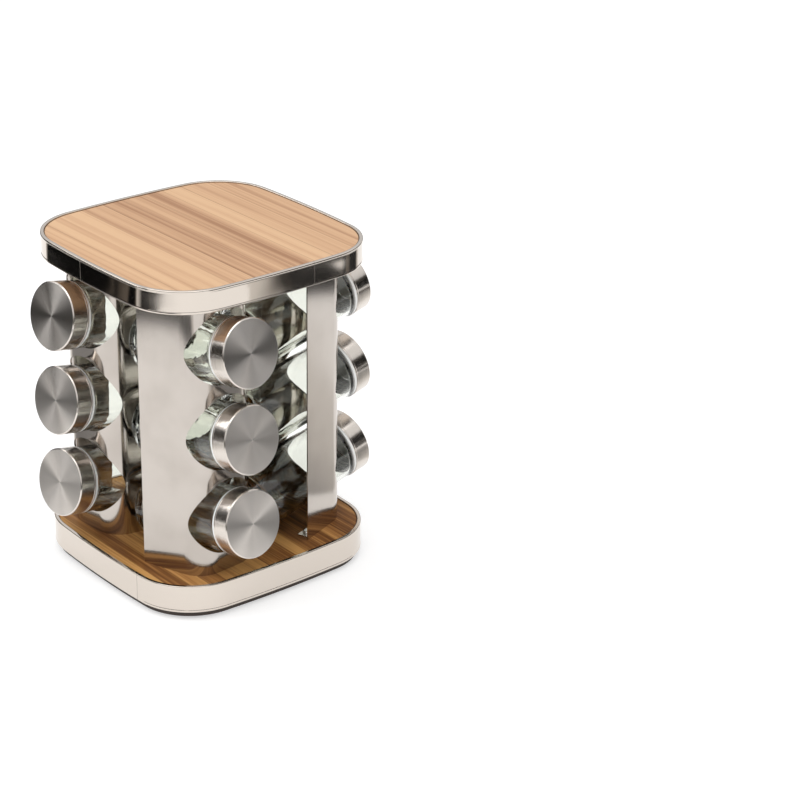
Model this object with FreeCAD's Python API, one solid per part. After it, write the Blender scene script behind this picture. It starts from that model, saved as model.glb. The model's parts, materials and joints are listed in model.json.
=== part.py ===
"""Revolving spice rack: a rounded-square carousel that holds twelve glass jars in four columns of three.

Frame: origin on the floor under the centre of the rack, +Z up, +X out of the right side, -Y out of the
front. The four columns are one column turned about Z in quarter turns. Sizes are in millimetres.
"""
import FreeCAD, Part
import math
import os

from FreeCAD import Placement, Rotation, Vector

# Overall sizes
SIDE = 180.0                # across the middle of two opposite sides, over the bands
SIDE_RADIUS = 837.0         # each side is a very flat outward arc
CORNER_RADIUS = 43.4
HEADROOM = 7.2              # from the highest lid up to the top board

# Boards and the steel bands around them
BAND_SHEET = 1.0
BAND_LIP = 2.6              # width of the rolled edge
LIP_THICKNESS = 1.6
LIP_ROUNDING = 0.72
BOARD_GAP = 0.15            # between a board and its band
BOARD_SINK = 0.8            # how far a board's face lies below the edge of its band
TOP_BAND_HEIGHT = 15.8
BASE_BAND_HEIGHT = 19.4
BASE_BOARD_THICKNESS = 9.0

# Foot, which stays still while the rack turns on it
FOOT_PAD_THICKNESS = 1.5
FOOT_PAD_RADIUS = 8.0
FOOT_PAD_REACH = 60.0       # x and y of each pad
FOOT_BOARD_THICKNESS = 3.2
FOOT_BOARD_INSET = 3.0
TURNING_GAP = 0.8           # between the foot and the band above it

# Ball bearing between the foot and the base board
BALL_RADIUS = 3.0
BALL_COUNT = 24
BALL_PITCH_RADIUS = 48.0
BALL_CLEARANCE = 0.05
RACE_INNER_RADIUS = 9.0
RACE_OUTER_RADIUS = 58.0
RACE_SPACING = 3.0          # between the two races
CAGE_THICKNESS = 1.2
CAGE_WIDTH = 10.0
PIVOT_RADIUS = 4.0
PIVOT_CLEARANCE = 0.06
PIVOT_HEAD_RADIUS = 7.5
PIVOT_HEAD_HEIGHT = 2.5
PIVOT_HEAD_GAP = 0.4
PIVOT_POCKET_GAP = 1.0
RACE_SCREW_CIRCLE = 30.0
RACE_SCREWS = 4

# Bent sheet panel, one to each column
PANEL_SHEET = 0.8
PANEL_TURN = 5.0            # degrees, each column faces this far round from its side
PANEL_SETBACK = 20.0        # from the middle of a side in to the panel's flat face
PANEL_BEND_RADIUS = 18.0
PANEL_BEND = 75.0           # degrees
LEADING_WING = 33.0
TRAILING_WING = 16.0
COLUMN_OFFSET = 18.5        # from the centre of the rack to the nearest side of a column's jars
TAB_LENGTH = 11.0
TAB_DEPTH = 9.0
TAB_INSET = 2.5             # from the end of a wing
TAB_SCREW_DEPTH = 5.0       # from the panel to the middle of the screw

# Screws
SCREW_RADIUS = 1.5
SCREW_LENGTH = 6.0          # in the board
SCREW_HEAD_RADIUS = 3.0
SCREW_HEAD_HEIGHT = 1.8
SCREW_HEAD_ROUNDING = 1.2
SCREW_CLEARANCE = 0.05
RACE_SCREW_LENGTH = 2.4

# Jars
TILT = 11.5                 # degrees, lid end up
LID_STANDOUT = 4.95         # from the middle of a side out to a lid's end face
FLOOR_GAP = 0.8             # from the base board up to the lowest jar
JAR_LENGTH = 98.0           # over the lid
GLASS_RADIUS = 22.4
GLASS_WALL = 2.4
GLASS_BASE = 6.0
GLASS_CORNER = 2.5
SHOULDER_WIDTH = 3.8        # from the side of the glass in to its neck
NECK_WALL = 2.2
LID_OVERHANG = 0.7          # the lid is this much larger in radius than the glass
LID_HEIGHT = 13.0
LID_SHEET = 0.6
LID_EDGE = 1.1
LINER_TOP = 1.4
LINER_RING = 1.7            # height of the plastic ring that shows below the lid
LINER_RING_SINK = 0.7       # the ring is this much smaller in radius than the lid
FIT_GAP = 0.3               # between the glass and the lid's liner
HOLE_GAP = 3.6              # between the glass and its hole in the panel, all round
HOLE_RISE = 2.4             # the hole lies this much above the jar's axis
HOLE_WEB = 7.5              # sheet left between one hole and the next above it
HOLE_SIDE = 1.0             # from the side of a hole out to where the wing begins

# Jar and column, in plan and height
LEAN = math.radians(TILT)
BEND = math.radians(PANEL_BEND)
LID_RADIUS = GLASS_RADIUS + LID_OVERHANG
NECK_RADIUS = GLASS_RADIUS - SHOULDER_WIDTH
HOLE_RADIUS = GLASS_RADIUS + HOLE_GAP
LID_REACH = SIDE / 2 + LID_STANDOUT
PANEL_REACH = SIDE / 2 - PANEL_SETBACK
PANEL_OFFSET = GLASS_RADIUS + COLUMN_OFFSET
FACE_HALF_WIDTH = HOLE_RADIUS + HOLE_SIDE - PANEL_BEND_RADIUS * math.sin(BEND)
ROW_PITCH = 2 * HOLE_RADIUS / math.cos(LEAN) + HOLE_WEB
LOW_ROW_HEIGHT = FLOOR_GAP + JAR_LENGTH * math.sin(LEAN) + GLASS_RADIUS * math.cos(LEAN)
PANEL_HEIGHT = LOW_ROW_HEIGHT + 2 * ROW_PITCH + LID_RADIUS * math.cos(LEAN) + HEADROOM

# Derived heights
FOOT_TOP = FOOT_PAD_THICKNESS + FOOT_BOARD_THICKNESS
BAND_FOOT = FOOT_TOP + TURNING_GAP
BASE_TOP = BAND_FOOT + BASE_BAND_HEIGHT - BOARD_SINK
BASE_UNDERSIDE = BASE_TOP - BASE_BOARD_THICKNESS
TOP_UNDERSIDE = BASE_TOP + PANEL_HEIGHT
BALL_HEIGHT = (FOOT_TOP + BASE_UNDERSIDE) / 2
RACE_THICKNESS = (BASE_UNDERSIDE - FOOT_TOP - RACE_SPACING) / 2

SIDES = ("right", "back", "left", "front")
ROWS = ("bottom", "middle", "top")
UP = Vector(0, 0, 1)
DOWN = Vector(0, 0, -1)
OVERRUN = 1.0               # cutters run this far past the faces they cut
TOUCHING = 1e-6             # levels closer than this are one level


def turned(shape, degrees):
    """A copy of the shape turned about the rack's upright axis."""
    copy = shape.copy()
    copy.rotate(Vector(0, 0, 0), UP, degrees)
    return copy


def polar(radius, degrees, z=0.0):
    angle = math.radians(degrees)
    return Vector(radius * math.cos(angle), radius * math.sin(angle), z)


def cylinder(radius, height, base, direction=UP):
    return Part.makeCylinder(radius, height, base, direction)


def revolved(points):
    """A solid of revolution about Z from a closed profile of (radius, z) points."""
    wire = Part.makePolygon([Vector(r, 0, z) for r, z in points + points[:1]])
    return Part.Face(wire).revolve(Vector(0, 0, 0), UP, 360)


# Boards and bands

def rounded_square(inset):
    """The rack's outline, drawn in by an inset: four flat arcs joined by four corner arcs."""
    half = SIDE / 2
    side_centre = SIDE_RADIUS - half
    reach = SIDE_RADIUS - CORNER_RADIUS
    corner = (math.sqrt(2 * reach ** 2 - side_centre ** 2) - side_centre) / 2
    slope = math.degrees(math.atan2(corner, corner + side_centre))
    edges = []
    for quarter in range(4):
        turn = 90 * quarter
        side_mid = polar(side_centre, turn + 180)
        corner_mid = polar(corner * math.sqrt(2), turn + 45)
        side_points = [side_mid + polar(SIDE_RADIUS - inset, turn + a) for a in (-slope, 0, slope)]
        corner_points = [corner_mid + polar(CORNER_RADIUS - inset, turn + a) for a in (slope, 45, 90 - slope)]
        edges.append(Part.Arc(*side_points).toShape())
        edges.append(Part.Arc(*corner_points).toShape())
    return Part.Wire(edges)


def slab(inset, z, height):
    face = Part.Face(rounded_square(inset))
    face.translate(Vector(0, 0, z))
    return face.extrude(Vector(0, 0, height))


def band(z, height):
    """A steel strip round a board, with a rolled lip along its upper and lower edges."""
    strip = slab(0, z, height).cut(slab(BAND_SHEET, z - OVERRUN, height + 2 * OVERRUN))
    shape = strip
    for lip_z in (z, z + height - LIP_THICKNESS):
        lip = slab(BAND_SHEET / 2, lip_z, LIP_THICKNESS)
        shape = shape.fuse(lip.cut(slab(BAND_LIP, lip_z - OVERRUN, LIP_THICKNESS + 2 * OVERRUN)))
    shape = shape.removeSplitter()
    ends = [e for e in shape.Edges if on_rim(e, z) or on_rim(e, z + height)]
    return shape.makeFillet(LIP_ROUNDING, ends)


def on_rim(edge, z):
    """Whether an edge lies in the level z."""
    box = edge.BoundBox
    return abs(box.ZMin - z) < TOUCHING and abs(box.ZMax - z) < TOUCHING


def make_top_board():
    band_z = TOP_UNDERSIDE
    lip_inner = LIP_THICKNESS + BOARD_GAP
    low = slab(BAND_LIP + BOARD_GAP, TOP_UNDERSIDE, TOP_BAND_HEIGHT - BOARD_SINK)
    wide = slab(BAND_SHEET + BOARD_GAP, band_z + lip_inner, TOP_BAND_HEIGHT - 2 * lip_inner)
    board = low.fuse(wide).removeSplitter()
    for screw in panel_screws(TOP_UNDERSIDE, UP, SCREW_CLEARANCE):
        board = board.cut(screw)
    return board


def make_base_board():
    lip_inner = LIP_THICKNESS + BOARD_GAP
    narrow = slab(BAND_LIP + BOARD_GAP, BASE_UNDERSIDE, BASE_BOARD_THICKNESS)
    wide_top = BASE_TOP + BOARD_SINK - lip_inner
    wide = slab(BAND_SHEET + BOARD_GAP, BASE_UNDERSIDE, wide_top - BASE_UNDERSIDE)
    board = narrow.fuse(wide).removeSplitter()
    pocket = PIVOT_HEAD_RADIUS + PIVOT_POCKET_GAP
    depth = PIVOT_HEAD_GAP + PIVOT_HEAD_HEIGHT + PIVOT_POCKET_GAP
    board = board.cut(cylinder(pocket, depth + OVERRUN, Vector(0, 0, BASE_UNDERSIDE - OVERRUN)))
    for screw in panel_screws(BASE_TOP, DOWN, SCREW_CLEARANCE):
        board = board.cut(screw)
    for screw in race_screws(BASE_UNDERSIDE, UP, SCREW_CLEARANCE):
        board = board.cut(screw)
    return board


# Panels

def panel_frame():
    """The outward and sideways directions of the right-hand column."""
    return polar(1, PANEL_TURN), polar(1, PANEL_TURN + 90)


def panel_wing(way, length, offset):
    """One half of the bent panel in plan, from its flat face round to the wing's end, and the wing's heading.

    The way is -1 for the leading wing and 1 for the trailing one; an offset moves the line inwards.
    """
    outward, along = panel_frame()
    face_end = outward * PANEL_REACH + along * (way * FACE_HALF_WIDTH - PANEL_OFFSET)
    centre = face_end - outward * PANEL_BEND_RADIUS
    radius = PANEL_BEND_RADIUS - offset
    start, middle, end = [centre + outward * (radius * math.cos(a)) + along * (way * radius * math.sin(a))
                          for a in (0, BEND / 2, BEND)]
    heading = along * (way * math.cos(BEND)) - outward * math.sin(BEND)
    tip = end + heading * length
    return [Part.Arc(start, middle, end).toShape(), Part.makeLine(end, tip)], start, tip, heading


def panel_outline(offset):
    """The panel's line in plan, with the ends of its two wings."""
    lead, lead_start, lead_tip, _ = panel_wing(-1, LEADING_WING, offset)
    trail, trail_start, trail_tip, _ = panel_wing(1, TRAILING_WING, offset)
    return lead + [Part.makeLine(lead_start, trail_start)] + trail, (lead_tip, trail_tip)


def tab_places():
    """For each wing of the right-hand panel: the tab's middle, the wing's heading and the way in."""
    outward, along = panel_frame()
    places = []
    for way, wing in ((-1, LEADING_WING), (1, TRAILING_WING)):
        _, _, tip, heading = panel_wing(way, wing, PANEL_SHEET)
        inward = along * (-way * math.sin(BEND)) - outward * math.cos(BEND)
        places.append((tip - heading * (TAB_INSET + TAB_LENGTH / 2), heading, inward))
    return places


def panel_screws(board_face, into, growth=0.0, with_head=False):
    """Screws of all four panels in one board, grown by a clearance when they cut holes."""
    head_base = board_face - into.z * PANEL_SHEET
    screws = []
    for quarter in range(4):
        for middle, _, inward in tab_places():
            spot = middle + inward * TAB_SCREW_DEPTH
            start = Vector(spot.x, spot.y, head_base)
            screw = cylinder(SCREW_RADIUS + growth, SCREW_LENGTH + PANEL_SHEET + growth, start, into)
            if with_head:
                head = cylinder(SCREW_HEAD_RADIUS, SCREW_HEAD_HEIGHT, start, into * -1)
                rim = [e for e in head.Edges if on_rim(e, head_base - into.z * SCREW_HEAD_HEIGHT)]
                screw = screw.fuse(head.makeFillet(SCREW_HEAD_ROUNDING, rim))
            screws.append(turned(screw, 90 * quarter))
    return screws


def jar_axis(row):
    """The middle of the lid's end face and the outward axis of a jar in the right-hand column."""
    outward, along = panel_frame()
    height = BASE_TOP + LOW_ROW_HEIGHT + ROW_PITCH * row
    centre = outward * LID_REACH - along * PANEL_OFFSET + UP * height
    return centre, outward * math.cos(LEAN) + UP * math.sin(LEAN)


def make_tab(middle, heading, inward, z):
    """A tab bent in from the foot or head of a wing, with its screw hole."""
    first = middle - heading * (TAB_LENGTH / 2) - inward * (PANEL_SHEET / 2)
    along_wing = heading * TAB_LENGTH
    depth = inward * (TAB_DEPTH + PANEL_SHEET / 2)
    corners = [first, first + along_wing, first + along_wing + depth, first + depth, first]
    tab = Part.Face(Part.makePolygon(corners)).extrude(UP * PANEL_SHEET)
    hole_foot = middle + inward * TAB_SCREW_DEPTH - UP * OVERRUN
    tab = tab.cut(cylinder(SCREW_RADIUS + SCREW_CLEARANCE, PANEL_SHEET + 2 * OVERRUN, hole_foot))
    tab.translate(UP * z)
    return tab


def make_panel():
    outer, outer_tips = panel_outline(0)
    inner, inner_tips = panel_outline(PANEL_SHEET)
    ends = [Part.makeLine(outside, inside) for outside, inside in zip(outer_tips, inner_tips)]
    face = Part.Face(Part.Wire(Part.__sortEdges__(outer + inner + ends)))
    face.translate(UP * BASE_TOP)
    panel = face.extrude(UP * PANEL_HEIGHT)
    for z in (BASE_TOP, TOP_UNDERSIDE - PANEL_SHEET):
        for middle, heading, inward in tab_places():
            panel = panel.fuse(make_tab(middle, heading, inward, z))
    across = UP * math.cos(LEAN) - panel_frame()[0] * math.sin(LEAN)
    for row in range(len(ROWS)):
        centre, axis = jar_axis(row)
        panel = panel.cut(cylinder(HOLE_RADIUS, JAR_LENGTH / 2, centre + across * HOLE_RISE, axis * -1))
    return panel.removeSplitter()


# Turntable

def make_foot_board():
    board = slab(FOOT_BOARD_INSET, FOOT_PAD_THICKNESS, FOOT_BOARD_THICKNESS)
    board = board.cut(cylinder(PIVOT_RADIUS + SCREW_CLEARANCE, FOOT_TOP + OVERRUN, Vector(0, 0, 0)))
    for screw in race_screws(FOOT_TOP, DOWN, SCREW_CLEARANCE):
        board = board.cut(screw)
    return board


def race_screws(board_face, into, growth=0.0):
    """Sunk screws that hold a race to its board, grown by a clearance when they cut holes."""
    start = Vector(RACE_SCREW_CIRCLE, 0, board_face - into.z * RACE_THICKNESS)
    shank = cylinder(SCREW_RADIUS + growth, RACE_THICKNESS + RACE_SCREW_LENGTH + growth, start, into)
    head = Part.makeCone(SCREW_HEAD_RADIUS + growth, SCREW_RADIUS + growth, SCREW_HEAD_HEIGHT, start, into)
    screw = shank.fuse(head)
    return [turned(screw, 360 / RACE_SCREWS * (i + 0.5)) for i in range(RACE_SCREWS)]


def make_race(board_face, into, bore):
    """A flat ring screwed to a board, with a round groove that the balls run in."""
    foot = min(board_face, board_face - into.z * RACE_THICKNESS)
    ring = cylinder(RACE_OUTER_RADIUS, RACE_THICKNESS, UP * foot)
    ring = ring.cut(cylinder(bore, RACE_THICKNESS + 2 * OVERRUN, UP * (foot - OVERRUN)))
    ring = ring.cut(Part.makeTorus(BALL_PITCH_RADIUS, BALL_RADIUS + BALL_CLEARANCE, UP * BALL_HEIGHT, UP))
    for screw in race_screws(board_face, into, SCREW_CLEARANCE):
        ring = ring.cut(screw)
    return ring


def ball_spots(z):
    return [polar(BALL_PITCH_RADIUS, 360 / BALL_COUNT * i, z) for i in range(BALL_COUNT)]


def make_balls():
    return Part.makeCompound([Part.makeSphere(BALL_RADIUS, spot) for spot in ball_spots(BALL_HEIGHT)])


def make_cage():
    foot = BALL_HEIGHT - CAGE_THICKNESS / 2
    cage = cylinder(BALL_PITCH_RADIUS + CAGE_WIDTH / 2, CAGE_THICKNESS, UP * foot)
    cage = cage.cut(cylinder(BALL_PITCH_RADIUS - CAGE_WIDTH / 2, CAGE_THICKNESS, UP * foot))
    for spot in ball_spots(foot):
        cage = cage.cut(cylinder(BALL_RADIUS + BALL_CLEARANCE, CAGE_THICKNESS, spot))
    return cage


def make_pivot():
    """A flat-headed bolt up from the foot, whose head keeps the upper race from lifting off."""
    head_foot = BASE_UNDERSIDE + PIVOT_HEAD_GAP
    shank = cylinder(PIVOT_RADIUS, head_foot - FOOT_PAD_THICKNESS, UP * FOOT_PAD_THICKNESS)
    return shank.fuse(cylinder(PIVOT_HEAD_RADIUS, PIVOT_HEAD_HEIGHT, UP * head_foot))


def make_foot_pads():
    reaches = (-FOOT_PAD_REACH, FOOT_PAD_REACH)
    spots = [Vector(x, y, 0) for x in reaches for y in reaches]
    return Part.makeCompound([cylinder(FOOT_PAD_RADIUS, FOOT_PAD_THICKNESS, spot) for spot in spots])


# Jars, drawn upright with the lid's end face at z = 0 and the glass below it

def make_glass():
    mouth = -(LINER_TOP + LID_SHEET + FIT_GAP)
    shoulder = -(LID_HEIGHT + LINER_RING + FIT_GAP)
    floor = GLASS_BASE - JAR_LENGTH
    inner = GLASS_RADIUS - GLASS_WALL
    throat = NECK_RADIUS - NECK_WALL
    body = revolved([(0, -JAR_LENGTH), (GLASS_RADIUS, -JAR_LENGTH), (GLASS_RADIUS, shoulder),
                     (NECK_RADIUS, shoulder), (NECK_RADIUS, mouth), (0, mouth)])
    wide = [e for e in body.Edges if e.BoundBox.XLength > NECK_RADIUS + GLASS_RADIUS]
    body = body.makeFillet(GLASS_CORNER, [e for e in wide if on_rim(e, shoulder) or on_rim(e, -JAR_LENGTH)])
    hollow = revolved([(0, floor), (inner, floor), (inner, shoulder - GLASS_WALL), (throat, shoulder),
                       (throat, mouth + OVERRUN), (0, mouth + OVERRUN)])
    hollow = hollow.makeFillet(GLASS_CORNER, [e for e in hollow.Edges if on_rim(e, floor)])
    return body.cut(hollow)


def make_lid():
    cap = cylinder(LID_RADIUS, LID_HEIGHT, UP * -LID_HEIGHT)
    cap = cap.makeChamfer(LID_EDGE, [e for e in cap.Edges if on_rim(e, 0)])
    inside = cylinder(LID_RADIUS - LID_SHEET, LID_HEIGHT - LID_SHEET + OVERRUN, UP * (-LID_HEIGHT - OVERRUN))
    inside = inside.makeChamfer(LID_EDGE, [e for e in inside.Edges if on_rim(e, -LID_SHEET)])
    return cap.cut(inside)


def make_liner():
    """Plastic cap inside the steel one, with a ring that shows below it."""
    sleeve = LID_RADIUS - LID_SHEET
    ring = LID_RADIUS - LINER_RING_SINK
    foot = -LID_HEIGHT - LINER_RING
    bore = NECK_RADIUS + FIT_GAP
    top = -LID_SHEET
    under = top - LINER_TOP
    return revolved([(0, top), (sleeve - LID_EDGE, top), (sleeve, top - LID_EDGE), (sleeve, -LID_HEIGHT),
                     (ring, -LID_HEIGHT), (ring, foot), (bore, foot), (bore, under), (0, under)])


def placed(shape, quarter, row):
    """A jar piece moved to its place in one of the four columns."""
    centre, axis = jar_axis(row)
    copy = shape.copy()
    copy.Placement = Placement(centre, Rotation(UP, axis))
    return turned(copy, 90 * quarter)


def build():
    """Every named piece of the rack."""
    nodes = {
        "top_board": make_top_board(),
        "top_band": band(TOP_UNDERSIDE, TOP_BAND_HEIGHT),
        "base_board": make_base_board(),
        "base_band": band(BAND_FOOT, BASE_BAND_HEIGHT),
        "top_screws": Part.makeCompound(panel_screws(TOP_UNDERSIDE, UP, with_head=True)),
        "base_screws": Part.makeCompound(panel_screws(BASE_TOP, DOWN, with_head=True)),
        "foot_board": make_foot_board(),
        "foot_pads": make_foot_pads(),
        "lower_race": make_race(FOOT_TOP, DOWN, RACE_INNER_RADIUS),
        "upper_race": make_race(BASE_UNDERSIDE, UP, PIVOT_RADIUS + PIVOT_CLEARANCE),
        "lower_race_screws": Part.makeCompound(race_screws(FOOT_TOP, DOWN)),
        "upper_race_screws": Part.makeCompound(race_screws(BASE_UNDERSIDE, UP)),
        "bearing_balls": make_balls(),
        "ball_cage": make_cage(),
        "pivot_bolt": make_pivot(),
    }
    panel = make_panel()
    pieces = {"jar": make_glass(), "lid": make_lid(), "lid_liner": make_liner()}
    for quarter, side in enumerate(SIDES):
        nodes["panel_" + side] = turned(panel, 90 * quarter)
        for row, level in enumerate(ROWS):
            for name, shape in pieces.items():
                nodes["_".join((name, side, level))] = placed(shape, quarter, row)
    return nodes


os.makedirs("parts", exist_ok=True)
for node, shape in build().items():
    shape.exportStep(os.path.join("parts", node + ".step"))
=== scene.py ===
"""Revolving spice rack, dressed for rendering: polished steel, laminates, glass jars and brushed lids."""

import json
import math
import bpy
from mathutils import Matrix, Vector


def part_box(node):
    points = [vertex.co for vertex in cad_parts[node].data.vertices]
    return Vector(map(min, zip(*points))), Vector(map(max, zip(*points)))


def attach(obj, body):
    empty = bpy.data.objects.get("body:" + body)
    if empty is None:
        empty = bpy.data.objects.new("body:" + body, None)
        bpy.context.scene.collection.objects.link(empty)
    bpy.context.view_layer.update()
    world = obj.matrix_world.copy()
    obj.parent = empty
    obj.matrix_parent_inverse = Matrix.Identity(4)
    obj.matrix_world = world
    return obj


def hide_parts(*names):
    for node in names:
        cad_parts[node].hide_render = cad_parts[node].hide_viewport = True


bl_info = {
    "name": "Revolving Spice Rack",
    "version": (1, 0, 0),
    "blender": (4, 5, 0),
    "location": "View3D > Sidebar > Spice Rack",
    "description": "Dresses a revolving rack of twelve spice jars with its finished surfaces",
    "category": "Add Mesh",
}

import bpy
from bpy.props import FloatProperty, FloatVectorProperty, PointerProperty
from mathutils import Matrix, Vector

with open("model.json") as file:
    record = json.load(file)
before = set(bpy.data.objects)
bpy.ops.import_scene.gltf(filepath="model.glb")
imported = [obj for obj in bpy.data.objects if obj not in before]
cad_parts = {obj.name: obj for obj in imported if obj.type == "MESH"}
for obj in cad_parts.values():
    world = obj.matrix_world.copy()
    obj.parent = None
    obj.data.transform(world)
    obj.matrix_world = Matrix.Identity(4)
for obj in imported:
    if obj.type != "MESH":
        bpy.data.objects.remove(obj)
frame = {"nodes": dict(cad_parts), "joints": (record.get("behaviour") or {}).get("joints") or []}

SIDES = ("right", "back", "left", "front")
LEVELS = ("bottom", "middle", "top")
KEYS = [side + "_" + level for side in SIDES for level in LEVELS]
JOINTS = {joint["name"]: joint for joint in frame["joints"]}
UP = Vector((0, 0, 1))
MM = 0.001


def height_of(node):
    low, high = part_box(node)
    return high.z - low.z


# Sizes and colours ------------------------------------------------------------------------------------


def length(name, description, default):
    return FloatProperty(name=name, description=description, default=default, min=0, precision=4,
                         subtype="DISTANCE", unit="LENGTH")


def angle(name, description, degrees):
    return FloatProperty(name=name, description=description, default=math.radians(degrees),
                         subtype="ANGLE", unit="ROTATION")


def share(name, description, default):
    return FloatProperty(name=name, description=description, default=default, min=0, max=1, subtype="FACTOR")


def colour(name, description, default):
    return FloatVectorProperty(name=name, description=description, default=default, size=3, min=0, max=1,
                               subtype="COLOR")


class RackOutline(bpy.types.PropertyGroup):
    """The rounded square that the boards and their bands follow."""
    half_side: length("Half side", "From the upright axis to the middle of a side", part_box("top_band")[1].x)
    side_radius: length("Side radius", "Radius of the flat arc along each side", 837 * MM)
    corner_radius: length("Corner radius", "Radius of the arc at each corner", 43.4 * MM)


class BandSizes(bpy.types.PropertyGroup):
    """The steel strip round each board."""
    lip: length("Lip", "Width of the rolled edge", 2.6 * MM)
    lip_thickness: length("Lip thickness", "Height of the rolled edge", 1.6 * MM)
    lip_rounding: length("Lip rounding", "Radius of the rolled edge's corners", 0.72 * MM)
    sheet: length("Sheet", "Thickness of the strip", 1.0 * MM)
    wall_sink: length("Wall sink", "How far the wall lies behind its rolled edges", 0.14 * MM)
    seam: length("Seam", "Width of the joint where two strips meet", 0.35 * MM)


class JarSizes(bpy.types.PropertyGroup):
    """The glass jar, measured back from the end face of its lid."""
    length: length("Length", "From the lid's end face to the foot of the glass", 98 * MM)
    radius: length("Radius", "Outside radius of the glass", 22.4 * MM)
    wall: length("Wall", "Thickness of the glass", 2.4 * MM)
    base: length("Base", "Thickness of the foot", 6 * MM)
    punt: length("Punt", "Rise of the hollow under the foot", 0.7 * MM)
    shoulder: length("Shoulder", "From the lid's end face to the shoulder", 15 * MM)
    mouth: length("Mouth", "From the lid's end face to the rim of the glass", 2.3 * MM)
    neck: length("Neck", "Outside radius of the neck", 18.6 * MM)
    throat: length("Throat", "Inside radius of the neck", 16.4 * MM)
    thread: length("Thread", "Height of the thread on the neck", 0.24 * MM)
    thread_pitch: length("Thread pitch", "Distance from one turn of the thread to the next", 3.2 * MM)


class LidSizes(bpy.types.PropertyGroup):
    """The steel lid and the plastic liner inside it."""
    radius: length("Radius", "Outside radius of the lid", 23.1 * MM)
    height: length("Height", "Height of the steel", 13 * MM)
    edge: length("Edge", "Width of the polished edge round the end face", 0.7 * MM)
    sheet: length("Sheet", "Thickness of the steel", 0.6 * MM)
    bead: length("Bead", "Height of the rolled bead at the open end", 0.9 * MM)
    ring: length("Ring", "Height of the plastic ring that shows below the lid", 1.7 * MM)
    ring_sink: length("Ring sink", "How much smaller the ring is in radius than the lid", 0.3 * MM)
    bore: length("Bore", "Inside radius of the liner", 18.9 * MM)
    liner_top: length("Liner top", "Thickness of the liner's flat top", 1.4 * MM)


class SteelFinish(bpy.types.PropertyGroup):
    """Colours and polish of the steel pieces."""
    band: colour("Band", "Polished strip", (0.68, 0.615, 0.55))
    panel: colour("Panel", "Bent sheet", (0.555, 0.508, 0.465))
    lid: colour("Lid", "Brushed end face", (0.95, 0.895, 0.84))
    edge: colour("Edge", "Polished side of a lid", (0.72, 0.665, 0.61))
    screw: colour("Screw", "Plated screw", (0.80, 0.79, 0.77))
    race: colour("Race", "Pressed race", (0.56, 0.56, 0.56))
    band_roughness: share("Band roughness", "Blur of the polished strip", 0.045)
    panel_roughness: share("Panel roughness", "Blur of the bent sheet", 0.10)
    brush: share("Brush", "Spread of light across the brushed lines of a lid", 0.95)


class WoodFinish(bpy.types.PropertyGroup):
    """Colours and widths of the two laminates."""
    top_pale: colour("Top pale", "Palest plank of the top board", (0.66, 0.425, 0.248))
    top_dark: colour("Top dark", "Darkest plank of the top board", (0.34, 0.175, 0.09))
    base_pale: colour("Base pale", "Palest strip of the base board", (0.62, 0.33, 0.11))
    base_dark: colour("Base dark", "Darkest strip of the base board", (0.12, 0.045, 0.013))
    joint: colour("Joint", "Line between planks", (0.16, 0.075, 0.035))
    top_plank: length("Top plank", "Width of a plank of the top board", 16.5 * MM)
    base_plank: length("Base plank", "Width of a strip of the base board", 11.5 * MM)
    base_block: length("Base block", "Length of a strip between two butts", 260 * MM)


class PlainFinish(bpy.types.PropertyGroup):
    """Colours of the glass, plastic, foot and rubber."""
    glass: colour("Glass", "Tint of the glass", (0.935, 0.945, 0.905))
    liner: colour("Liner", "Plastic of the liner", (0.93, 0.93, 0.91))
    foot: colour("Foot", "Painted foot board", (0.030, 0.019, 0.013))
    rubber: colour("Rubber", "Foot pads", (0.02, 0.02, 0.02))
    cage: colour("Cage", "Plastic of the ball cage", (0.72, 0.70, 0.64))


class CameraPlace(bpy.types.PropertyGroup):
    """Where the camera stands, seen from a point on the upright axis."""
    azimuth: angle("Azimuth", "Round the upright axis from the front", 54.955)
    elevation: angle("Elevation", "Above the floor", 23.837)
    distance: length("Distance", "From the point on the axis", 1.6129)
    height: length("Height", "Height of that point", 0.12176)
    aside: FloatProperty(name="Aside", description="Sideways slope of the point from the view's middle",
                         default=-0.08278)
    above: FloatProperty(name="Above", description="Upward slope of the point from the view's middle",
                         default=0.00578)
    roll: angle("Roll", "Turn of the camera about its own line of sight", 1.258)
    focal_length: FloatProperty(name="Focal length", description="Lens, for a sensor 36 mm wide",
                                default=106.18, min=1, subtype="DISTANCE_CAMERA", unit="CAMERA")


class StudioLight(bpy.types.PropertyGroup):
    """The floor, the sky round it and the lamps."""
    floor_radius: length("Floor radius", "Radius of the pale floor", 2.6)
    sky: FloatProperty(name="Sky", description="Brightness of the sky that lights the rack",
                       default=0.90, min=0)
    key_power: FloatProperty(name="Key power", description="Power of the overhead lamp", default=5.5, min=0,
                             subtype="POWER", unit="POWER")
    side_power: FloatProperty(name="Side power", description="Power of the side lamp", default=3.5, min=0,
                              subtype="POWER", unit="POWER")


GROUPS = {
    "rack_outline": RackOutline,
    "rack_band": BandSizes,
    "rack_jar": JarSizes,
    "rack_lid": LidSizes,
    "rack_steel": SteelFinish,
    "rack_wood": WoodFinish,
    "rack_plain": PlainFinish,
    "rack_camera": CameraPlace,
    "rack_light": StudioLight,
}


# Shader maths -----------------------------------------------------------------------------------------


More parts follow.
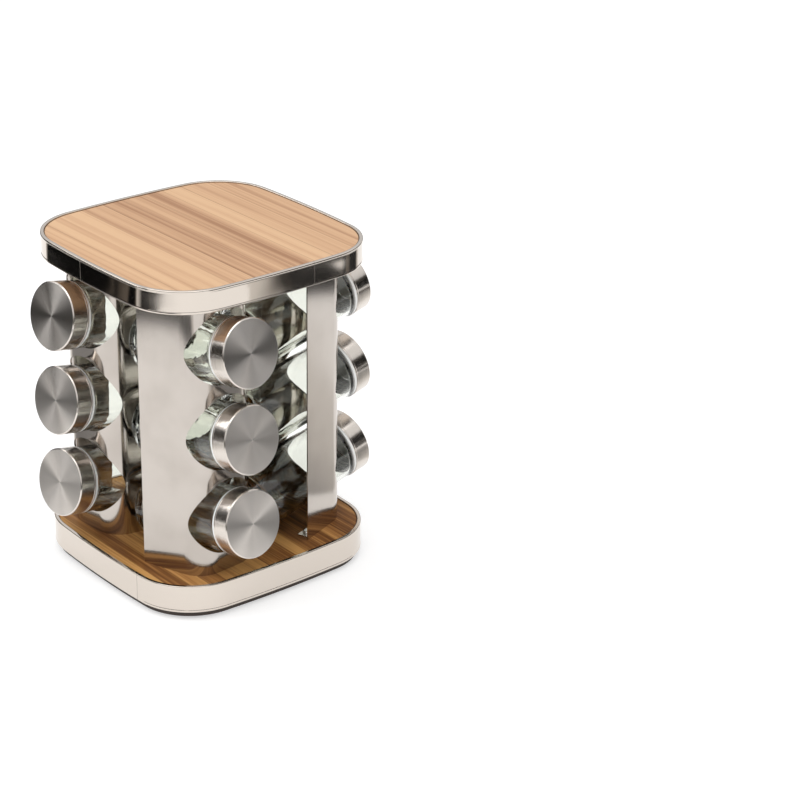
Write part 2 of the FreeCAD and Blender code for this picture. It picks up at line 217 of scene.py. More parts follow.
class Value:
    """A number or vector inside a finish's node tree that takes part in sums like a plain number."""

    def __init__(self, finish, socket):
        self.finish = finish
        self.socket = socket

    def maths(self, operation, *values):
        return self.finish.node("ShaderNodeMath", {"operation": operation}, dict(enumerate(values)))

    def __add__(self, other):
        return self.maths("ADD", self, other)

    def __sub__(self, other):
        return self.maths("SUBTRACT", self, other)

    def __mul__(self, other):
        return self.maths("MULTIPLY", self, other)

    def __truediv__(self, other):
        return self.maths("DIVIDE", self, other)

    def __pow__(self, other):
        return self.maths("POWER", self, other)

    def __radd__(self, other):
        return self.maths("ADD", other, self)

    def __rsub__(self, other):
        return self.maths("SUBTRACT", other, self)

    def __rmul__(self, other):
        return self.maths("MULTIPLY", other, self)

    def __gt__(self, other):
        return self.maths("GREATER_THAN", self, other)

    def __lt__(self, other):
        return self.maths("LESS_THAN", self, other)

    def __abs__(self):
        return self.maths("ABSOLUTE", self)

    def whole(self):
        return self.maths("FLOOR", self)

    def part(self):
        return self.maths("FRACT", self)

    def root(self):
        return self.maths("SQRT", self)

    def cosine(self):
        return self.maths("COSINE", self)

    def at_least(self, other):
        return self.maths("MAXIMUM", self, other)

    def ramp_between(self, low, high):
        """0 up to low, 1 from high, and a smooth rise between them."""
        return self.finish.node("ShaderNodeMapRange", {"interpolation_type": "SMOOTHSTEP"},
                                {"Value": self, "From Min": low, "From Max": high})


class Finish:
    """One material or sky as it is put together."""

    def __init__(self, name, owner=None):
        self.owner = owner or bpy.data.materials.new(name)
        self.owner.use_nodes = True
        self.tree = self.owner.node_tree
        self.tree.nodes.clear()

    def node(self, kind, settings=None, inputs=None, output=0):
        """Adds a node of any kind, applies its settings, fills its sockets and gives back one output."""
        node = self.tree.nodes.new(kind)
        for name, value in (settings or {}).items():
            if name == "stops":
                self.fill_ramp(node.color_ramp, value)
            else:
                setattr(node, name, value)
        for name, value in (inputs or {}).items():
            self.feed(node.inputs[name], value)
        return Value(self, node.outputs[output]) if len(node.outputs) else node

    def feed(self, socket, value):
        if isinstance(value, Value):
            self.tree.links.new(value.socket, socket)
        elif socket.type == "RGBA" and len(value) == 3:
            socket.default_value = (*value, 1)
        else:
            socket.default_value = value

    def fill_ramp(self, ramp, stops):
        while len(ramp.elements) < len(stops):
            ramp.elements.new(1)
        for element, (position, shade) in zip(ramp.elements, stops):
            element.position = position
            element.color = (*shade, 1)

    def place(self):
        """Position on the piece, as a vector and as three numbers."""
        spot = self.node("ShaderNodeTexCoord", output="Object")
        return spot, self.split(spot)

    def split(self, vector):
        node = self.tree.nodes.new("ShaderNodeSeparateXYZ")
        self.feed(node.inputs[0], vector)
        return [Value(self, socket) for socket in node.outputs]

    def vector(self, x, y, z):
        return self.node("ShaderNodeCombineXYZ", inputs={"X": x, "Y": y, "Z": z})

    def vector_maths(self, operation, *values, output=0):
        return self.node("ShaderNodeVectorMath", {"operation": operation}, dict(enumerate(values)), output)

    def blend(self, factor, first, second, kind="MIX"):
        """A colour part of the way from the first to the second."""
        node = self.tree.nodes.new("ShaderNodeMix")
        node.data_type = "RGBA"
        node.blend_type = kind
        for socket in node.inputs:
            if socket.identifier == "Factor_Float":
                self.feed(socket, factor)
            elif socket.identifier == "A_Color":
                self.feed(socket, first)
            elif socket.identifier == "B_Color":
                self.feed(socket, second)
        return Value(self, [s for s in node.outputs if s.identifier == "Result_Color"][0])

    def noise(self, vector, scale=1.0, detail=2.0, roughness=0.5):
        return self.node("ShaderNodeTexNoise", inputs={"Vector": vector, "Scale": scale, "Detail": detail,
                                                       "Roughness": roughness})

    def chance(self, number):
        """A steady random number from 0 to 1 for each whole number."""
        return self.node("ShaderNodeTexWhiteNoise", {"noise_dimensions": "1D"}, {"W": number})

    def bump(self, height, depth, strength=1.0, normal=None):
        inputs = {"Height": height, "Distance": depth, "Strength": strength}
        if normal:
            inputs["Normal"] = normal
        return self.node("ShaderNodeBump", inputs=inputs)

    def surface(self, **sockets):
        """Ends the material with a Principled shader. Underscores stand for the spaces in sockets' names."""
        inputs = {name.replace("_", " "): value for name, value in sockets.items()}
        shader = self.node("ShaderNodeBsdfPrincipled", inputs=inputs)
        self.node("ShaderNodeOutputMaterial", inputs={"Surface": shader})
        return self.owner


def rack_settings(group):
    return getattr(bpy.context.scene, group)


# Finishes ---------------------------------------------------------------------------------------------


def ring_brush(finish, spread, pitch):
    """A normal tilted at random from one fine ring to the next, as brushing on a wheel leaves it."""
    spot, (x, y, z) = finish.place()
    radius = (x * x + y * y).root()
    ring = ((radius - z) / pitch).whole()
    tilt = (finish.chance(ring) - 0.5) * (2 * spread)
    round_local = finish.vector(0 - y, x, 0.0)
    round_world = finish.node("ShaderNodeVectorTransform", {"vector_type": "VECTOR", "convert_from": "OBJECT",
                                                            "convert_to": "WORLD"}, {"Vector": round_local})
    round_world = finish.vector_maths("NORMALIZE", round_world)
    normal = finish.node("ShaderNodeNewGeometry", output="Normal")
    across = finish.vector_maths("CROSS_PRODUCT", normal, round_world)
    leaned = finish.node("ShaderNodeVectorMath", {"operation": "SCALE"}, {0: across, "Scale": tilt})
    return finish.vector_maths("NORMALIZE", finish.vector_maths("ADD", normal, leaned))


def lid_face_finish():
    """Wheel-brushed steel: light fans out across the fine rings; two darker wedges that meet at the middle,
    and faint rays, are painted reflection in the colour.
    """
    steel = rack_settings("rack_steel")
    finish = Finish("lid_face_brushed_painted_wedges")
    spot, (x, y, z) = finish.place()
    around = x.maths("ARCTAN2", y, x)
    # Painted reflection: dark wedges at left and right, from twice the angle round the face, and the faint
    # rays below stand in for the bow-tie of light on brushed steel.
    painted_dark_wedge = (around * 2.0).cosine() * 0.5 + 0.5
    fine = (around * 9.0 + finish.noise(spot, 60.0) * 2.0).cosine() * 0.5 + 0.5
    rings = finish.chance(((x * x + y * y).root() / (0.3 * MM)).whole())
    # The ring-to-ring speckle is the steel's own tone; the wedges and rays in this sum are painted reflection.
    tone = 0.98 - painted_dark_wedge * painted_dark_wedge * 0.55 + fine * 0.05 - rings * 0.025
    shade = finish.blend(1.0, steel.lid, finish.vector(tone, tone, tone), "MULTIPLY")
    return finish.surface(Base_Color=shade, Metallic=1.0, Roughness=0.31, Anisotropic=steel.brush,
                          Anisotropic_Rotation=0.25, Normal=ring_brush(finish, 0.012, 0.3 * MM))


def lid_edge_finish():
    """Polished steel with the faint rings of its turning."""
    steel = rack_settings("rack_steel")
    finish = Finish("lid_edge_polished")
    spot, (x, y, z) = finish.place()
    rings = finish.chance((z / (0.22 * MM)).whole())
    cloud = finish.noise(spot, 90.0, 3.0)
    shade = finish.blend(cloud * 0.35, steel.edge, (0.60, 0.55, 0.50))
    return finish.surface(Base_Color=shade, Metallic=1.0, Roughness=0.20 + rings * 0.05, Anisotropic=0.6,
                          Anisotropic_Rotation=0.25, Normal=ring_brush(finish, 0.03, 0.22 * MM))


def band_finish(name, seams):
    """Mirror-polished strip, slightly wavy, with hairlines and the upright joints between its lengths."""
    steel = rack_settings("rack_steel")
    seam_width = rack_settings("rack_band").seam
    finish = Finish(name)
    spot, (x, y, z) = finish.place()
    line = 0.0
    for across_x, place_on_side, sign in seams:
        along, other = (x, y) if across_x else (y, x)
        near = abs(along - place_on_side) < seam_width / 2
        line = near * ((other * sign) > 0.0) + line
    waves = finish.noise(finish.vector(x * 16.0, y * 16.0, z * 30.0), 1.0, 1.0)
    lines = finish.noise(finish.vector(x * 20.0, y * 20.0, z * 6000.0), 1.0, 2.0)
    shade = finish.blend(line * 0.75, steel.band, (0.22, 0.20, 0.18))
    normal = finish.bump(waves, 0.9 * MM)
    normal = finish.bump(line, -0.2 * MM, 0.8, normal)
    roughness = steel.band_roughness + lines * 0.03 + line * 0.4
    return finish.surface(Base_Color=shade, Metallic=1.0, Roughness=roughness, Normal=normal)


def panel_finish():
    """Bright rolled sheet with a faint upright grain and the soft waves that bending leaves."""
    steel = rack_settings("rack_steel")
    finish = Finish("panel_sheet_steel")
    spot, (x, y, z) = finish.place()
    grain = finish.noise(finish.vector(x * 1400.0, y * 1400.0, z * 14.0), 1.0, 3.0, 0.6)
    cloud = finish.noise(spot, 22.0, 3.0)
    waves = finish.noise(finish.vector(x * 11.0, y * 11.0, z * 6.0), 1.0, 1.0)
    shade = finish.blend(cloud.ramp_between(0.35, 0.70), steel.panel, (0.475, 0.43, 0.39))
    normal = finish.bump(waves, 1.9 * MM)
    normal = finish.bump(grain, 0.01 * MM, 0.5, normal)
    return finish.surface(Base_Color=shade, Metallic=1.0, Roughness=steel.panel_roughness + grain * 0.05,
                          Normal=normal)


def plank_lines(finish, across, width, gap):
    """Thin lines between planks, 1 on the line."""
    share_across = (across / width).part()
    from_edge = abs(share_across - 0.5)
    return from_edge.ramp_between(0.5 - gap / width, 0.5 - 0.3 * gap / width)


def top_wood_finish():
    """Pale laminate with straight planks along X, each its own tone, and a fine streaked grain."""
    wood = rack_settings("rack_wood")
    finish = Finish("top_board_laminate")
    spot, (x, y, z) = finish.place()
    width = wood.top_plank
    wander = finish.noise(finish.vector(x * 5.0, y * 60.0, 0.0), 1.0, 1.0) * (0.5 * MM)
    uneven = finish.noise(finish.vector(0.0, y * 38.0, 3.0), 1.0, 0.0) * (9 * MM)
    across = y + wander + uneven
    plank = (across / width).whole()
    tone = finish.chance(plank + 31.0)
    bands = finish.noise(finish.vector(x * 1.2, y * 190.0, tone * 9.0), 1.0, 2.0, 0.6)
    streak = finish.noise(finish.vector(x * 5.0, y * 700.0, 0.0), 1.0, 4.0, 0.65)
    broad = finish.noise(finish.vector(x * 7.0, y * 75.0, 5.0), 1.0, 2.0)
    pores = finish.noise(finish.vector(x * 70.0, y * 2600.0, 2.0), 1.0, 2.0, 0.7).ramp_between(0.60, 0.78)
    depth = tone * 0.95 + bands * 1.7 + streak * 0.9 + broad * 0.5 - 1.58
    shade = finish.node("ShaderNodeValToRGB", {"stops": [
        (0.0, wood.top_pale), (0.40, (0.575, 0.35, 0.202)),
        (0.75, (0.43, 0.24, 0.134)), (1.0, wood.top_dark)]},
        {"Fac": depth})
    kept = finish.chance((across / width + 0.5).whole() + 7.0)
    joints = plank_lines(finish, across, width, 0.34 * MM) * kept
    rim = painted_gap_shade(finish, x, y)
    shade = finish.blend(joints * 0.9, shade, wood.joint)
    shade = finish.blend(pores * 0.14, shade, wood.joint)
    # Painted shade: the board is darkened almost to black in the strip beside the rolled edge, for the dark
    # gap under it.
    shade = finish.blend(rim * 0.85, shade, (0.03, 0.018, 0.01))
    height = streak * 0.4 - pores * 0.5 - joints - rim
    return finish.surface(Base_Color=shade, Roughness=0.42 + streak * 0.14, Specular_IOR_Level=0.25,
                          Normal=finish.bump(height, 0.05 * MM))


def painted_gap_shade(finish, x, y):
    """1 in the narrow strip of board beside the rolled edge round it, where the dark gap between them is
    painted in as shade.
    """
    sizes, band = rack_settings("rack_outline"), rack_settings("rack_band")
    side_centre, corner, slope = outline_centres()
    wide, deep = abs(x), abs(y)
    sides = []
    for along, across in ((wide, deep), (deep, wide)):
        reach = ((along + side_centre) ** 2.0 + across ** 2.0).root()
        sides.append(sizes.side_radius - reach)
    from_side = 0.0 - (0.0 - sides[0]).at_least(0.0 - sides[1])
    round_reach = ((wide - corner) ** 2.0 + (deep - corner) ** 2.0).root()
    from_corner = sizes.corner_radius - round_reach
    lean = math.tan(slope)
    in_corner = ((deep - corner) > (wide - corner) * lean) * ((wide - corner) > (deep - corner) * lean)
    inset = from_side + (from_corner - from_side) * in_corner
    return 1.0 - inset.ramp_between(band.lip + 0.35 * MM, band.lip + 0.75 * MM)


def base_wood_finish():
    """Darker laminate of long strips along X, butted end to end, each with its own streaks."""
    wood = rack_settings("rack_wood")
    finish = Finish("base_board_laminate")
    spot, (x, y, z) = finish.place()
    strip = (y / wood.base_plank).whole()
    along = x / wood.base_block + finish.chance(strip) * 7.0
    block = along.whole()
    tone = finish.chance(strip * 17.0 + block * 5.3)
    streak = finish.noise(finish.vector(x * 6.0, y * 420.0, tone * 9.0), 1.0, 4.0, 0.65)
    figure = finish.noise(finish.vector(x * 30.0, y * 160.0, tone * 40.0), 1.0, 3.0)
    depth = tone * 0.75 + streak * 2.1 + figure * 0.5 - 1.28
    shade = finish.node("ShaderNodeValToRGB", {"stops": [
        (0.0, wood.base_pale), (0.35, (0.42, 0.195, 0.06)),
        (0.7, (0.22, 0.09, 0.026)), (1.0, wood.base_dark)]},
        {"Fac": depth})
    joints = plank_lines(finish, y, wood.base_plank, 0.26 * MM)
    butts = plank_lines(finish, along * wood.base_block, wood.base_block, 0.26 * MM)
    lines = joints.at_least(butts)
    rim = painted_gap_shade(finish, x, y)
    shade = finish.blend(lines * 0.7, shade, (0.05, 0.02, 0.008))
    # Painted shade: the board is darkened almost to black in the strip beside the rolled edge, for the dark
    # gap under it.
    shade = finish.blend(rim * 0.85, shade, (0.02, 0.01, 0.006))
    return finish.surface(Base_Color=shade, Roughness=0.38 + streak * 0.12,
                          Normal=finish.bump(streak * 0.4 - lines - rim, 0.04 * MM), Specular_IOR_Level=0.14)


def glass_finish():
    """Clear pressed glass with a slight green tint and a barely rippled skin."""
    plain = rack_settings("rack_plain")
    finish = Finish("jar_glass_clear")
    spot, _ = finish.place()
    ripple = finish.noise(spot, 70.0, 2.0)
    tint = finish.blend(ripple * 0.25, plain.glass, (0.87, 0.895, 0.835))
    return finish.surface(Base_Color=tint, Roughness=0.0 + ripple * 0.01, IOR=1.5, Transmission_Weight=1.0,
                          Normal=finish.bump(ripple, 0.25 * MM, 0.5))


def liner_finish():
    """White moulded plastic with a soft sheen and fine moulding grain."""
    finish = Finish("lid_liner_plastic")
    spot, _ = finish.place()
    grain = finish.noise(spot, 1800.0, 2.0)
    cloud = finish.noise(spot, 60.0, 2.0)
    shade = finish.blend(cloud * 0.3, rack_settings("rack_plain").liner, (0.84, 0.84, 0.81))
    return finish.surface(Base_Color=shade, Roughness=0.34 + grain * 0.08,
                          Normal=finish.bump(grain, 0.01 * MM))


def foot_finish():
    """Near-black paint over fibreboard, a little uneven."""
    finish = Finish("foot_board_paint")
    spot, _ = finish.place()
    fibre = finish.noise(spot, 900.0, 4.0, 0.6)
    cloud = finish.noise(spot, 35.0, 2.0)
    shade = finish.blend(cloud * 0.6, rack_settings("rack_plain").foot, (0.055, 0.036, 0.026))
    return finish.surface(Base_Color=shade, Roughness=0.52 + fibre * 0.16,
                          Normal=finish.bump(fibre, 0.05 * MM))


def rubber_finish():
    """Soft black rubber with a fine moulded grain."""
    finish = Finish("foot_pad_rubber")
    spot, _ = finish.place()
    grain = finish.noise(spot, 2200.0, 3.0)
    shade = finish.blend(grain, rack_settings("rack_plain").rubber, (0.045, 0.045, 0.045))
    return finish.surface(Base_Color=shade, Roughness=0.78 + grain * 0.12,
                          Normal=finish.bump(grain, 0.06 * MM))


def race_finish():
    """Plain pressed steel, cloudy from the rolling."""
    finish = Finish("bearing_race_steel")
    spot, _ = finish.place()
    cloud = finish.noise(spot, 120.0, 4.0, 0.6)
    shade = finish.blend(cloud, rack_settings("rack_steel").race, (0.42, 0.42, 0.43))
    return finish.surface(Base_Color=shade, Metallic=1.0, Roughness=0.30 + cloud * 0.2,
                          Normal=finish.bump(cloud, 0.02 * MM))


def screw_finish(name, roughness):
    """Bright plating with fine turning marks."""
    finish = Finish(name)
    spot, _ = finish.place()
    marks = finish.noise(spot, 700.0, 3.0)
    shade = finish.blend(marks * 0.4, rack_settings("rack_steel").screw, (0.66, 0.65, 0.63))
    return finish.surface(Base_Color=shade, Metallic=1.0, Roughness=roughness + marks * 0.08,
                          Normal=finish.bump(marks, 0.01 * MM))


def cage_finish():
    """Natural plastic, slightly translucent in look, with a dull sheen."""
    finish = Finish("ball_cage_plastic")
    spot, _ = finish.place()
    cloud = finish.noise(spot, 240.0, 3.0)
    shade = finish.blend(cloud * 0.6, rack_settings("rack_plain").cage, (0.60, 0.58, 0.52))
    return finish.surface(Base_Color=shade, Roughness=0.45 + cloud * 0.1,
                          Normal=finish.bump(cloud, 0.02 * MM))


def floor_finish():
    """Plain pale floor."""
    finish = Finish("studio_floor")
    spot, _ = finish.place()
    cloud = finish.noise(spot, 6.0, 2.0)
    shade = finish.blend(cloud, (0.62, 0.62, 0.62), (0.65, 0.65, 0.65))
    return finish.surface(Base_Color=shade, Roughness=0.9 + cloud * 0.05, Specular_IOR_Level=0.1,
                          Emission_Color=(1.0, 1.0, 1.0), Emission_Strength=0.50)


def card_finish(name, tone, start, end, soft):
    """Matt studio card, dark in its middle and pale towards its two ends, which are angles in degrees."""
    finish = Finish(name)
    spot, (x, y, z) = finish.place()
    around = x.maths("ARCTAN2", y, x) + finish.noise(spot, 14.0, 2.0) * 0.14 - 0.07
    inside = around.ramp_between(math.radians(start), math.radians(start + soft))
    inside = inside * (1.0 - around.ramp_between(math.radians(end - soft), math.radians(end)))
    cloud = finish.noise(finish.vector(x * 22.0, y * 22.0, z * 9.0), 1.0, 3.0).ramp_between(0.52, 0.70)
    shade = finish.blend(cloud, (tone, tone, tone), (tone + 0.14, tone + 0.12, tone + 0.10))
    shade = finish.blend(inside, (0.80, 0.78, 0.75), shade)
    return finish.surface(Base_Color=shade, Roughness=0.95, Specular_IOR_Level=0.0)


# Shapes -----------------------------------------------------------------------------------------------


def eased(corners, steps=6):
    """A profile with its corners rounded. Each corner is (radius, height, rounding, finish).

    The finish is the material slot of the stretch that starts there.
    """
    points = []
    for index, (r, z, rounding, slot) in enumerate(corners):
        here = Vector((r, z))
        if rounding <= 0 or index in (0, len(corners) - 1):
            points.append((r, z, slot))
            continue
        before = Vector(corners[index - 1][:2]) - here
        after = Vector(corners[index + 1][:2]) - here
        half = before.angle(after) / 2
        reach = min(rounding / math.tan(half), before.length * 0.49, after.length * 0.49)
        start = here + before.normalized() * reach
        end = here + after.normalized() * reach
        for step in range(steps + 1):
            t = step / steps
            spot = start * (1 - t) ** 2 + here * (2 * t * (1 - t)) + end * t ** 2
            points.append((spot.x, spot.y, corners[index - 1][3] if t < 0.5 else slot))
    return points


def lathe(name, points, segments, relief=None):
    """A mesh turned about Z from a profile of (radius, height, finish), drawn from the foot outwards."""
    verts, faces, slots, rings = [], [], [], []
    for radius, height, _ in points:
        if radius < 1e-7:
            rings.append([len(verts)] * segments)
            verts.append((0, 0, height))
            continue
        ring = []
        for step in range(segments):
            turn = 2 * math.pi * step / segments
            reach = radius + (relief(radius, height, turn) if relief else 0)
            ring.append(len(verts))
            verts.append((reach * math.cos(turn), reach * math.sin(turn), height))
        rings.append(ring)
    for lower, upper, (_, _, slot) in zip(rings, rings[1:], points):
        for step in range(segments):
            after = (step + 1) % segments
            corners = [lower[step], lower[after], upper[after], upper[step]]
            face = [v for i, v in enumerate(corners) if v not in corners[:i]]
            if len(face) > 2:
                faces.append(face)
                slots.append(slot)
    return finished_mesh(name, verts, faces, slots)


def finished_mesh(name, verts, faces, slots=None, crease=32):
    mesh = bpy.data.meshes.new(name)
    mesh.from_pydata(verts, [], faces)
    mesh.update()
    if slots:
        mesh.polygons.foreach_set("material_index", slots)
    mesh.shade_smooth()
    mesh.set_sharp_from_angle(angle=math.radians(crease))
    return mesh


def outline_centres():
    """How far a side's centre lies behind the axis, where a corner's lies, and the sides' end slope."""
    sizes = rack_settings("rack_outline")
    side_centre = sizes.side_radius - sizes.half_side
    reach = sizes.side_radius - sizes.corner_radius
    corner = (math.sqrt(2 * reach ** 2 - side_centre ** 2) - side_centre) / 2
    return side_centre, corner, math.atan2(corner, corner + side_centre)


def outline(inset, side_steps=20, corner_steps=26):
    """Points round the rack's rounded square, drawn in by an inset, anticlockwise."""
    sizes = rack_settings("rack_outline")
    side_centre, corner, slope = outline_centres()
    points = []
    for quarter in range(4):
        turn = quarter * math.pi / 2
        middle = Vector((-side_centre * math.cos(turn), -side_centre * math.sin(turn)))
        for step in range(side_steps):
            a = turn - slope + 2 * slope * step / side_steps
            points.append(middle + Vector((math.cos(a), math.sin(a))) * (sizes.side_radius - inset))
        diagonal = turn + math.pi / 4
        middle = Vector((math.cos(diagonal), math.sin(diagonal))) * corner * math.sqrt(2)
        for step in range(corner_steps):
            a = turn + slope + (math.pi / 2 - 2 * slope) * step / corner_steps
            points.append(middle + Vector((math.cos(a), math.sin(a))) * (sizes.corner_radius - inset))
    return points


def swept_band(name, foot, height):
    """A strip with a rolled edge above and below, swept round the rack's outline."""
    band = rack_settings("rack_band")
    lip, thick, rounding = band.lip, band.lip_thickness, band.lip_rounding
    sink = band.wall_sink
    half = [
        (lip, thick, 0.25 * MM), (lip, 0.0, 0.45 * MM), (0.0, 0.0, rounding), (0.0, thick, 0.5 * MM),
        (sink, thick + 0.35 * MM, 0.3 * MM),
    ]
    corners = [(band.sheet, thick, 0.2 * MM, 0)] + [(*c, 0) for c in half]
    corners += [(i, height - z, r, 0) for i, z, r in reversed(half)]
    corners += [(band.sheet, height - thick, 0.2 * MM, 0)]
    profile = eased([(i, foot + z, r, s) for i, z, r, s in corners], 5)
    loops = [[(p.x, p.y, z) for p in outline(inset)] for inset, z, _ in profile]
    count = len(loops[0])
    verts = [spot for loop in loops for spot in loop]
    faces = []
    for row in range(len(loops)):
        following = (row + 1) % len(loops)
        for step in range(count):
            after = (step + 1) % count
            faces.append([row * count + step, row * count + after,
                          following * count + after, following * count + step])
    return finished_mesh(name, verts, faces)


def lathe_place(node, axis, turn=0.0):
    """The matrix that sets a turned mesh on a CAD node's axis, its end face at the node's outer end."""
    across = UP.cross(axis).normalized()
    basis = Matrix((across, axis.cross(across), axis)).transposed()
    spots = [basis.transposed() @ vertex.co for vertex in frame["nodes"][node].data.vertices]
    middle = Vector([(min(s[i] for s in spots) + max(s[i] for s in spots)) / 2 for i in range(2)])
    outer = max(s.z for s in spots)
    spot = basis @ Vector((middle.x, middle.y, outer))
    return Matrix.Translation(spot) @ basis.to_4x4() @ Matrix.Rotation(turn, 4, "Z")


def pull_axis(key):
    return Vector(JOINTS["jar_" + key + "_pull"]["axis"]).normalized()


def add_piece(name, mesh, body, nodes, place=None):
    """A finished piece that stands for its CAD nodes and rides on their body."""
    piece = bpy.data.objects.new(name, mesh)
    bpy.context.scene.collection.objects.link(piece)
    if place:
        piece.matrix_world = place
    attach(piece, body)
    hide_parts(*nodes)
    return piece


def finish_node(node, material):
    """Gives a CAD node its finish without touching its shape."""
    piece = frame["nodes"][node]
    if not piece.material_slots:
        piece.data.materials.append(material)
    for slot in piece.material_slots:
        slot.material = material


def jar_mesh():
    """Pressed glass jar: thick hollowed foot, straight wall, round shoulder and a threaded neck."""
    jar = rack_settings("rack_jar")
    inner = jar.radius - jar.wall
    foot = -jar.length
    corners = [
        (0, foot + jar.punt, 0, 0), (15 * MM, foot + jar.punt, 4 * MM, 0), (19.2 * MM, foot, 1 * MM, 0),
        (jar.radius, foot, 2.4 * MM, 0), (jar.radius, -jar.shoulder, 2.5 * MM, 0),
        (jar.neck, -jar.shoulder, 0.6 * MM, 0),
    ]
    rise = jar.shoulder - jar.mouth
    corners += [(jar.neck, -jar.shoulder + rise * i / 34, 0, 0) for i in range(2, 33)]
    corners += [
        (jar.neck, -jar.mouth, 0.7 * MM, 0), (jar.throat, -jar.mouth, 0.7 * MM, 0),
        (jar.throat, -jar.shoulder, 1.5 * MM, 0), (inner, -jar.shoulder - jar.wall, 2.2 * MM, 0),
        (inner, foot + jar.base, 2.6 * MM, 0), (0, foot + jar.base, 0, 0),
    ]

    def thread(radius, height, turn):
        if abs(radius - jar.neck) > 1e-6 or not 2.5 * MM < -height - jar.mouth < 10 * MM:
            return 0
        wave = math.cos(2 * math.pi * height / jar.thread_pitch - turn)
        return jar.thread * max(0, wave) ** 2

    mesh = lathe("jar", eased(corners), 112, thread)
    mesh.materials.append(glass_finish())
    return mesh


def lid_mesh():
    """Steel lid: brushed end face, polished edge and side, and a rolled bead at its open end."""
    lid = rack_settings("rack_lid")
    inner = lid.radius - lid.sheet
    rear = -lid.height
    corners = [
        (0, -lid.sheet, 0, 1), (inner - lid.edge, -lid.sheet, 0.5 * MM, 1),
        (inner, -lid.sheet - lid.edge, 0.5 * MM, 1), (inner, rear, 0.2 * MM, 1),
        (lid.radius, rear, 0.35 * MM, 1), (lid.radius, rear + lid.bead, 0.3 * MM, 1),
        (lid.radius - 0.22 * MM, rear + lid.bead + 0.25 * MM, 0.1 * MM, 1),
        (lid.radius, rear + lid.bead + 0.5 * MM, 0.2 * MM, 1),
        (lid.radius, -lid.edge, 0.35 * MM, 1), (lid.radius - lid.edge, 0, 0.3 * MM, 0), (14 * MM, 0, 0, 0),
        (7 * MM, 0, 0, 0), (0, 0, 0, 0),
    ]
    mesh = lathe("lid", eased(corners), 128)
    mesh.materials.append(lid_face_finish())
    mesh.materials.append(lid_edge_finish())
    return mesh


def liner_mesh():
    """Plastic liner: the ring that shows below the steel, the bore round the neck, and the flat top."""
    lid = rack_settings("rack_lid")
    sleeve = lid.radius - lid.sheet - 0.05 * MM
    ring = lid.radius - lid.ring_sink
    foot = -lid.height - lid.ring
    top = -lid.sheet - 0.05 * MM
    corners = [
        (0, top - lid.liner_top, 0, 0), (lid.bore, top - lid.liner_top, 0.5 * MM, 0),
        (lid.bore, foot, 0.3 * MM, 0), (ring, foot, 0.35 * MM, 0), (ring, -lid.height + 0.1 * MM, 0.1 * MM, 0),
        (sleeve, -lid.height + 0.15 * MM, 0.05 * MM, 0), (sleeve, top - lid.edge, 0.3 * MM, 0),
        (sleeve - lid.edge, top, 0.3 * MM, 0), (0, top, 0, 0),
    ]
    mesh = lathe("liner", eased(corners), 112)
    mesh.materials.append(liner_finish())
    return mesh


# Operators --------------------------------------------------------------------------------------------


class RackOperator:
    bl_options = {"REGISTER", "UNDO"}

    def execute(self, context):
        self.make()
        return {"FINISHED"}


class MakeBands(RackOperator, bpy.types.Operator):
    """Sweep the polished strips round the two boards"""
    bl_idname = "spice_rack.make_bands"
    bl_label = "Bands"

    def make(self):
        seams = {
            "top_band": [(True, -8.0 * MM, -1), (False, 25.4 * MM, 1),
                         (True, 8.0 * MM, 1), (False, -25.4 * MM, -1)],
            "base_band": [(True, 43.5 * MM, -1), (True, -43.5 * MM, 1)],
        }
        for node, places in seams.items():
            mesh = swept_band(node + "_rolled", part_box(node)[0].z, height_of(node))
            mesh.materials.append(band_finish(node + "_polished", places))
            add_piece(node + "_rolled", mesh, "rack", [node])


class FinishBoards(RackOperator, bpy.types.Operator):
    """Give the two boards their laminates"""
    bl_idname = "spice_rack.finish_boards"
    bl_label = "Boards"

    def make(self):
        finish_node("top_board", top_wood_finish())
        finish_node("base_board", base_wood_finish())


class FinishPanels(RackOperator, bpy.types.Operator):
    """Give the four bent panels their sheet steel"""
    bl_idname = "spice_rack.finish_panels"
    bl_label = "Panels"

    def make(self):
        steel = panel_finish()
        for side in SIDES:
            finish_node("panel_" + side, steel)


class MakeJars(RackOperator, bpy.types.Operator):
    """Turn the twelve glass jars"""
    bl_idname = "spice_rack.make_jars"
    bl_label = "Jars"

    def make(self):
        mesh = jar_mesh()
        for index, key in enumerate(KEYS):
            place = lathe_place("lid_" + key, pull_axis(key), 0.9 * index)
            add_piece("glass_" + key, mesh, "jar_" + key, ["jar_" + key], place)


class MakeLids(RackOperator, bpy.types.Operator):
    """Turn the twelve steel lids"""
    bl_idname = "spice_rack.make_lids"
    bl_label = "Lids"

    def make(self):
        mesh = lid_mesh()
        for index, key in enumerate(KEYS):
            # The small turns keep the painted dark wedges of each lid face near its left and right.
            place = lathe_place("lid_" + key, pull_axis(key), 0.15 * (index % 3) - 0.1)
            add_piece("cap_" + key, mesh, "lid_" + key, ["lid_" + key], place)


class MakeLiners(RackOperator, bpy.types.Operator):
    """Turn the twelve plastic liners"""
    bl_idname = "spice_rack.make_liners"
    bl_label = "Liners"

    def make(self):
        mesh = liner_mesh()
        for key in KEYS:
            place = lathe_place("lid_" + key, pull_axis(key))
            add_piece("liner_" + key, mesh, "lid_" + key, ["lid_liner_" + key], place)


class FinishTurntable(RackOperator, bpy.types.Operator):
    """Finish the foot, its pads, the ball bearing and every screw"""
    bl_idname = "spice_rack.finish_turntable"
    bl_label = "Turntable and Screws"

    def make(self):
        finish_node("foot_board", foot_finish())
        finish_node("foot_pads", rubber_finish())
        finish_node("ball_cage", cage_finish())
        race = race_finish()
        finish_node("lower_race", race)
        finish_node("upper_race", race)
        plated = screw_finish("screw_plated", 0.16)
        for node in ("top_screws", "base_screws", "lower_race_screws", "upper_race_screws", "pivot_bolt"):
            finish_node(node, plated)
        finish_node("bearing_balls", screw_finish("bearing_ball_polished", 0.05))


